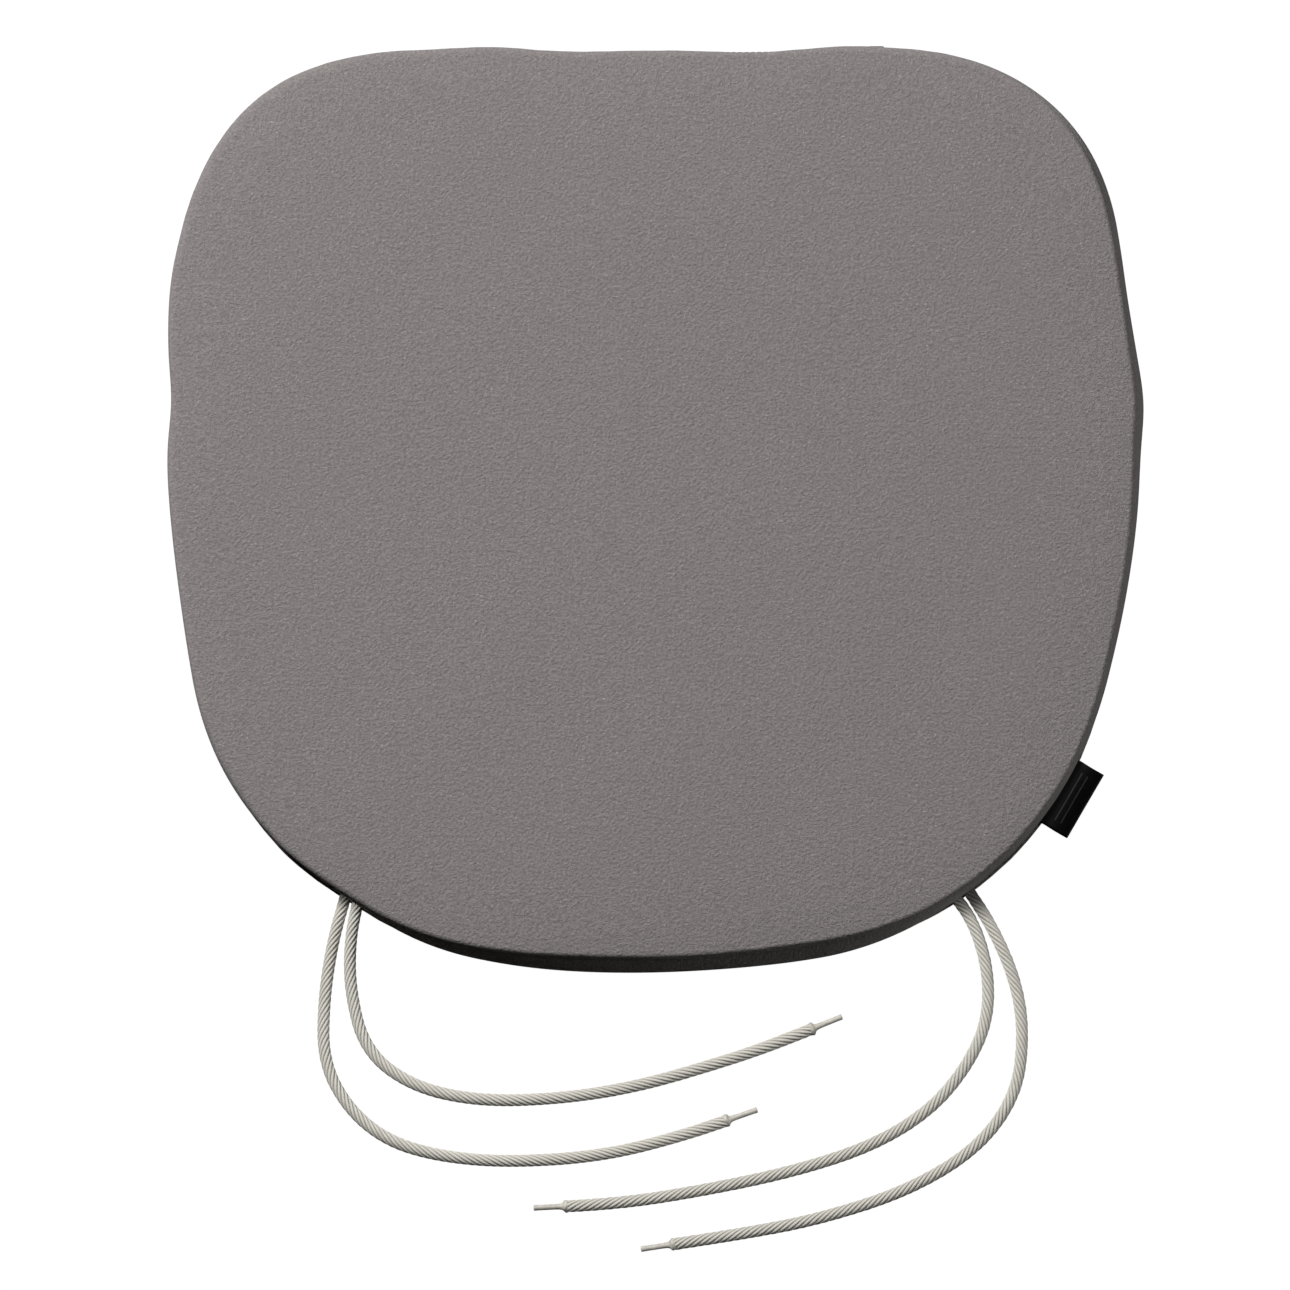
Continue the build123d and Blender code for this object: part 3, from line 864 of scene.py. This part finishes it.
# ---------------- zip
def make_tapes():
    """Woven tapes with a thicker outer edge and a rib beside the coil."""
    low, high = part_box("zip_tape_upper")[0].z - MID_Z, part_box("zip_tape_upper")[1].z - MID_Z
    across = np.linspace(low, high, 22)
    share = (across - low) / (high - low)
    swell = 0.12 * MM * (np.exp(-(((share - 0.96) / 0.03) ** 2)) + np.exp(-(((share - 0.3) / 0.05) ** 2)))
    front = TAPE_Y - 0.02 * MM + swell * (share > 0.9)
    back = TAPE_Y - 0.45 * MM - swell
    section_y = np.concatenate([front, back[::-1]])
    section_z = np.concatenate([across, across[::-1]])
    x = np.linspace(-ZIP_HALF, ZIP_HALF, 161)
    for name, sign in (("upper", 1), ("lower", -1)):
        wave = 0.03 * MM * np.sin(x / (9 * MM) + sign)
        verts = np.stack(np.broadcast_arrays(
            x[:, None], section_y[None] + wave[:, None], MID_Z + sign * section_z[None]
        ), axis=-1)
        around = len(section_y)
        faces = grid_faces(len(x), around, closed=True) + end_caps(len(x), around)
        faces = flipped(faces) if sign > 0 else faces
        piece = new_piece(f"zip_tape_{name}_woven", verts, faces, ZIP_TAPE)
        finish_piece(piece, f"zip_tape_{name}")


def make_coils():
    """Two interlocked filament coils, each turn a flattened loop with its head past the middle."""
    pitch = 1.15 * MM
    wire = 0.25 * MM
    turns = int((2 * COIL_END - pitch) / pitch)
    per_turn = 14
    angle = np.arange(turns * per_turn + 1) * 2 * math.pi / per_turn
    depth = (COIL_Y - TAPE_Y) / 2 - wire
    for name, sign in (("upper", 1), ("lower", -1)):
        x = -COIL_END + pitch * angle / (2 * math.pi) + (pitch / 2 if sign < 0 else 0)
        up, out = -np.cos(angle), np.sin(angle)
        z = MID_Z + sign * (1.15 * MM + 1.5 * MM * np.sign(up) * np.abs(up) ** 0.8)
        y = (TAPE_Y + COIL_Y) / 2 + depth * np.sign(out) * np.abs(out) ** 0.7
        line = np.stack([x, y, z], axis=-1)
        tangent = np.gradient(line, axis=0)
        tangent /= np.linalg.norm(tangent, axis=1)[:, None]
        side = np.cross([1.0, 0.0, 0.0], tangent)
        side /= np.linalg.norm(side, axis=1)[:, None]
        head = 1 + 0.22 * smooth((-up - 0.7) / 0.3)
        verts, faces = tube(line, side, np.cross(tangent, side), wire * head, 7)
        piece = new_piece(f"zip_coil_{name}_turns", verts, faces, ZIP_COIL)
        finish_piece(piece, f"zip_coil_{name}")


def bevelled_copy(node, name, width, body="pad"):
    """The CAD shape of a cast or pressed metal part, its edges rounded."""
    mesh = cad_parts[node].data.copy()
    mesh.name = name
    mesh.materials.clear()
    mesh.materials.append(ZIP_METAL)
    mesh.polygons.foreach_set("use_smooth", [True] * len(mesh.polygons))
    piece = put(name, mesh)
    piece.matrix_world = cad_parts[node].matrix_world.copy()
    weld = piece.modifiers.new("weld", "WELD")
    weld.merge_threshold = 0.005 * MM
    flat = piece.modifiers.new("flat", "DECIMATE")
    flat.decimate_type = "DISSOLVE"
    flat.angle_limit = math.radians(1)
    bevel = piece.modifiers.new("rounded edges", "BEVEL")
    bevel.width = width
    bevel.segments = 3
    bevel.limit_method = "ANGLE"
    bevel.angle_limit = math.radians(35)
    bevel.harden_normals = True
    return finish_piece(piece, node, body)


def make_zip():
    make_tapes()
    make_coils()
    bevelled_copy("zip_top_stops", "zip_top_stops_clips", 0.35 * MM)
    bevelled_copy("zip_bottom_stop", "zip_bottom_stop_clip", 0.35 * MM)
    bevelled_copy("zip_slider_body", "zip_slider_cast", 0.22 * MM, "zip_slider")
    bevelled_copy("zip_pull_tab", "zip_pull_pressed", 0.2 * MM, "zip_pull")


make_zip()


# ---------------- labels
def make_side_tab():
    """Folded black tape that comes out of the lower seam and lies on the floor."""
    rows = [  # reach beyond the CAD outline and height of the upper layer, in millimetres
        (-5.5, 3.9), (-4.0, 3.9), (-2.8, 3.9), (-1.6, 3.9), (-0.6, 3.8), (0.4, 3.45), (1.4, 2.95),
        (2.6, 2.5), (4.2, 2.15), (6.0, 2.0), (7.8, 2.02), (8.9, 2.08),
    ]
    reach = np.array([row[0] for row in rows]) * MM
    height = np.array([row[1] for row in rows]) * MM
    gap = 0.35 * MM
    fold = np.radians(np.linspace(75, -75, 6))
    fold_reach = TAB_REACH - gap + gap * np.cos(fold) - 0.2 * MM
    fold_height = height[-1] - gap + gap * np.sin(fold)
    path_reach = np.concatenate([reach, fold_reach, reach[::-1]])
    path_height = np.concatenate([height, fold_height, height[::-1] - 2 * gap])
    run = np.concatenate([[0.0], np.cumsum(np.hypot(np.diff(path_reach), np.diff(path_height)))])
    along = np.linspace(-TAB_LENGTH / 2, TAB_LENGTH / 2, 31)
    middle = cover_point(TAB_PLACE, 0.0, 0.0)
    heading = math.atan2(outline_at(TAB_PLACE, "out_y"), outline_at(TAB_PLACE, "out_x")) + TAB_TURN
    out = np.array([math.cos(heading), math.sin(heading), 0.0])
    edge = np.array([out[1], -out[0], 0.0])
    sag = 0.18 * MM * np.cos(along / (5.5 * MM))[:, None] * smooth(path_reach / (8 * MM))[None]
    verts = (
        middle + along[:, None, None] * edge + path_reach[None, :, None] * out
        + (path_height[None] + sag)[..., None] * np.array([0.0, 0.0, 1.0])
    )
    faces = grid_faces(len(along), len(path_reach))
    piece = new_piece("side_tab_folded", verts, faces, LABEL_TAPE)
    tape = np.stack(np.broadcast_arrays(
        along[:, None], np.minimum(run, run[-1] - run)[None], 0.0
    ), axis=-1)
    store(piece, "tape", tape)
    thicken(piece, 0.3 * MM)
    finish_piece(piece, "side_tab")


def make_care_label():
    """Blank satin label, hanging between the foam and the rear of the band."""
    place = ROUND / 2 + np.linspace(-12 * MM, 12 * MM, 25)
    heights = np.linspace(4.9 * MM, 20.2 * MM, 17)
    points = []
    for z in heights:
        wave = 0.08 * MM * np.sin(place / (3 * MM) + z / (2 * MM))
        inset = side_inset(place, z) + FABRIC + 0.25 * MM + wave
        points.append(cover_point(place, inset, z))
    piece = new_piece("care_label_satin", np.stack(points), flipped(grid_faces(17, 25)), SATIN)
    thicken(piece, 0.12 * MM)
    finish_piece(piece, "care_label")


make_side_tab()
make_care_label()


# ---------------- tie cords
def route_line(route):
    """Points about 0.8 mm apart on the smooth line of a route, from inside the seam."""
    (x0, y0), (x1, y1) = route[:2]
    share = SEWN_IN / (math.hypot(x1 - x0, y1 - y0) * MM)
    route = [(x0 + share * (x0 - x1), y0 + share * (y0 - y1))] + route
    curve = bpy.data.curves.new("route", "CURVE")
    curve.dimensions = "3D"
    spline = curve.splines.new("NURBS")
    spline.points.add(len(route) - 1)
    for control, (x, y) in zip(spline.points, route):
        control.co = (x * MM, y * MM, CORD_FULLNESS * CORD_DIAMETER / 2, 1)
    spline.points[0].co.z += ROOT_LIFT
    spline.points[-1].co.z += TIP_LIFT
    spline.order_u = 3
    spline.use_endpoint_u = True
    spline.resolution_u = 24
    holder = put("route", curve)
    mesh = bpy.data.meshes.new_from_object(holder)
    line = np.array([vertex.co for vertex in mesh.vertices])
    bpy.data.objects.remove(holder)
    bpy.data.curves.remove(curve)
    bpy.data.meshes.remove(mesh)
    run = run_along(line)
    steps = np.linspace(0, run[-1], int(run[-1] / (0.8 * MM)))
    return points_at(steps, run, line), steps


def strand_section(around):
    """Radius, angle inside a strand and hollow depth round the rope's lobed section."""
    strand = 0.72 * MM
    centre = CORD_FULLNESS * CORD_DIAMETER / 2 - strand
    per_strand = around // CORD_STRANDS
    local = (np.arange(around) % per_strand + 0.5) / per_strand * 2 - 1
    angle = local * math.pi / CORD_STRANDS
    radius = centre * np.cos(angle) + np.sqrt(strand**2 - (centre * np.sin(angle)) ** 2)
    return radius, local


def make_cord(name, route):
    """A rope of twisted strands along the tie's route."""
    corner = name.split("_")[0]
    line, run = route_line(route)
    _, side, up = line_frames(line)
    around = 10 * CORD_STRANDS
    radius, local = strand_section(around)
    angle = (np.arange(around) + 0.5) * 2 * math.pi / around
    turned = angle[None] + TIE_HANDS[corner] * 2 * math.pi * run[:, None] / CORD_PITCH
    strand = np.arange(around) // (around // CORD_STRANDS)
    uneven = 1 + 0.012 * np.sin(run[:, None] / (2.3 * MM) + strand[None] * 1.7)
    ring = np.cos(turned)[..., None] * side[:, None] + np.sin(turned)[..., None] * up[:, None]
    verts = line[:, None] + ring * (radius[None] * uneven)[..., None]
    faces = grid_faces(len(line), around, closed=True) + end_caps(len(line), around)
    piece = new_piece(f"tie_cord_{name}_twisted", verts, faces, CORD_FIBRE)
    lengthwise = np.broadcast_to(run[:, None] / MM, turned.shape)
    slant = local[None] * 3.2 + lengthwise * 0.55
    fibres = np.stack([lengthwise * 0.22 + strand[None] * 7.3, slant, slant * 0 + strand[None]], axis=-1)
    store(piece, "strand", fibres)
    # painted shadow of the pad on the root, and painted shade in the hollows between strands, stored
    # together as depth
    painted_root_shadow = ROOT_SHADOW_DARKNESS * np.exp(-(np.maximum(run - SEWN_IN, 0) / ROOT_SHADE[corner]) ** 4)[:, None]
    depth = np.maximum(np.abs(local) ** 3, painted_root_shadow)
    store(piece, "depth", depth)
    return finish_piece(piece, f"tie_cord_{name}"), line, run


def make_tip(name, line, seed):
    """Dipped tip: an uneven collar over the cord's end, a cone and a thin stem."""
    along = line[-1] - line[-4]
    along /= np.linalg.norm(along)
    side = np.cross([0.0, 0.0, 1.0], along)
    side /= np.linalg.norm(side)
    up = np.cross(along, side)
    profile = [  # distance past the cord's end and radius, in millimetres
        (-0.9, 2.1), (-0.75, 2.4), (-0.35, 2.62), (0.1, 2.7), (0.45, 2.62), (0.75, 2.36), (0.95, 2.0),
        (1.25, 1.7), (1.6, 1.45), (2.1, 1.28), (2.8, 1.18), (4.2, 1.13), (6.5, 1.12), (8.5, 1.14),
        (10.5, 1.12), (12.0, 1.16), (12.7, 1.2), (13.0, 1.16), (13.15, 1.0), (13.2, 0.5),
    ]
    around = 28
    turn = np.arange(around) * 2 * math.pi / around
    rings = []
    for distance, radius in profile:
        is_collar = distance < 1.2
        wave = 0.04 * np.sin(2 * turn + seed) + 0.03 * np.sin(5 * turn + 2 * seed)
        size = radius * (1 + wave * (1.0 if is_collar else 0.25)) * MM
        shift = (distance + (0.16 * np.sin(3 * turn + 1.3 * seed) if is_collar else 0 * turn)) * MM
        rings.append(
            line[-1] + shift[:, None] * along
            + (np.cos(turn) * size)[:, None] * side + (np.sin(turn) * size)[:, None] * up
        )
    verts = np.concatenate(rings)
    verts[:, 2] = np.maximum(verts[:, 2], 0.02 * MM)
    faces = grid_faces(len(rings), around, closed=True) + end_caps(len(rings), around)
    piece = new_piece(f"tie_tip_{name}_dipped", verts, faces, DIPPED_PLASTIC)
    smoother = piece.modifiers.new("smoother", "SUBSURF")
    smoother.levels = smoother.render_levels = 1
    return finish_piece(piece, f"tie_tip_{name}")


def make_ties():
    """The four ties with their tips."""
    pieces = []
    for number, (name, route) in enumerate(TIE_ROUTES.items()):
        cord, line, run = make_cord(name, route)
        tip = make_tip(name, line, 1.9 * number)
        pieces += [cord, tip]
    return pieces


TIES = make_ties()


# ---------------- floor, light and camera
def make_floor():
    """A pale floor that rises to a pale wall, and lights nothing."""
    material, shader = new_material("studio_floor")
    shader.inputs["Base Color"].default_value = (0.8, 0.8, 0.8, 1)
    shader.inputs["Roughness"].default_value = 1.0
    shader.inputs["Specular IOR Level"].default_value = 0.0
    shader.inputs["Emission Color"].default_value = (1, 1, 1, 1)
    shader.inputs["Emission Strength"].default_value = 1.0
    material.cycles.emission_sampling = "NONE"
    profile = [(0.0, 0.0), (7.0, 0.0), (8.2, 0.2), (8.9, 0.9), (9.1, 2.0), (9.1, 7.0)]
    turn = np.arange(64) * 2 * math.pi / 64
    rings = [
        np.stack([np.cos(turn) * reach, np.sin(turn) * reach, np.full(64, height)], axis=-1)
        for reach, height in profile[1:]
    ]
    faces = flipped(grid_faces(len(rings), 64, closed=True)) + [tuple(range(64))]
    floor = new_piece("studio_floor", np.concatenate(rings), faces, material)
    floor.location.z = -0.05 * MM
    floor.visible_diffuse = False
    floor.visible_glossy = False
    floor.visible_shadow = False
    return floor


LAMP_DISTANCE = 4.0


def linked(name, pieces, state):
    """A light-linking collection that includes or excludes these pieces."""
    group = bpy.data.collections.new(name)
    for piece in pieces:
        group.objects.link(piece)
    for link in group.collection_objects:
        link.light_linking.link_state = state
    return group


def make_lamp(name, size, energy, direction, receivers):
    """A soft round lamp that faces the pad."""
    data = bpy.data.lights.new(name, "AREA")
    data.shape = "DISK"
    data.size = size
    data.energy = energy
    lamp = put(name, data)
    lamp.location = direction.normalized() * LAMP_DISTANCE
    lamp.rotation_euler = direction.to_track_quat("Z", "Y").to_euler()
    lamp.light_linking.receiver_collection = receivers
    return lamp


def make_sky():
    """A dim sky, brightest straight above."""
    world = bpy.data.worlds.new("studio")
    world.use_nodes = True
    bpy.context.scene.world = world
    nodes, links = world.node_tree.nodes, world.node_tree.links
    split = nodes.new("ShaderNodeSeparateXYZ")
    ramp = nodes.new("ShaderNodeMapRange")
    links.new(nodes.new("ShaderNodeTexCoord").outputs["Generated"], split.inputs[0])
    links.new(split.outputs["Z"], ramp.inputs[0])
    # from a sine of 0.6 above the horizon up to straight above, the strength goes from 0 to 0.06
    for key, value in zip((1, 2, 3, 4), (0.6, 1.0, 0.0, 0.06)):
        ramp.inputs[key].default_value = value
    background = nodes["Background"]
    background.inputs["Color"].default_value = (1, 1, 1, 1)
    links.new(ramp.outputs[0], background.inputs["Strength"])


def make_lamps(floor, ties):
    """A key from the front left and a low fill from the right; the ties have their own lamps."""
    # the lamps leave the floor out, so that it stays plain and without a hard shadow
    pad_only = linked("all but the floor and the ties", [floor, *ties], "EXCLUDE")
    ties_only = linked("the ties", ties, "INCLUDE")
    key = Vector((-0.5, 0.58, 0.64))
    make_lamp("key", 1.1, 218, key, pad_only)
    make_lamp("fill", 1.2, 49, Vector((0.97, 0.02, 0.2)), linked("all but the floor", [floor], "EXCLUDE"))
    make_lamp("top light of the ties", 1.1, 52, key + Vector((0, 0, 1.9)), ties_only)
    make_lamp("reflector of the ties", 1.6, 3, Vector((0.15, -0.9, 0.5)), ties_only)
    # the upper part of the pad casts no long shadow on the ties
    upper = [
        bpy.data.objects[name] for name in (
            "top_cover", "side_band_cover", "foam_slab", "top_seam_stitches",
            "tie_tack_left_zigzag", "tie_tack_right_zigzag",
        )
    ]
    side_light = make_lamp("side light of the ties", 1.1, 148, key, ties_only)
    side_light.light_linking.blocker_collection = linked("casts no shadow", upper, "EXCLUDE")


def make_camera():
    """A long lens, almost overhead: a little from the rear and from the right."""
    data = bpy.data.cameras.new("camera")
    data.lens = 300
    data.sensor_width = 36
    camera = put("camera", data)
    away = Vector((math.tan(math.radians(3)), -math.tan(math.radians(10)), 1)).normalized()
    right = Vector((0, 1, 0)).cross(away).normalized()
    upright = Matrix((right, away.cross(right), away)).transposed()
    camera.rotation_euler = (Matrix.Rotation(math.radians(0.35), 3, away) @ upright).to_euler()
    camera.location = Vector((-2.5 * MM, -54.5 * MM, 0)) + 4.4 * away
    bpy.context.scene.camera = camera


make_sky()
make_lamps(make_floor(), TIES)
make_camera()
bpy.context.scene.view_settings.view_transform = "Standard"
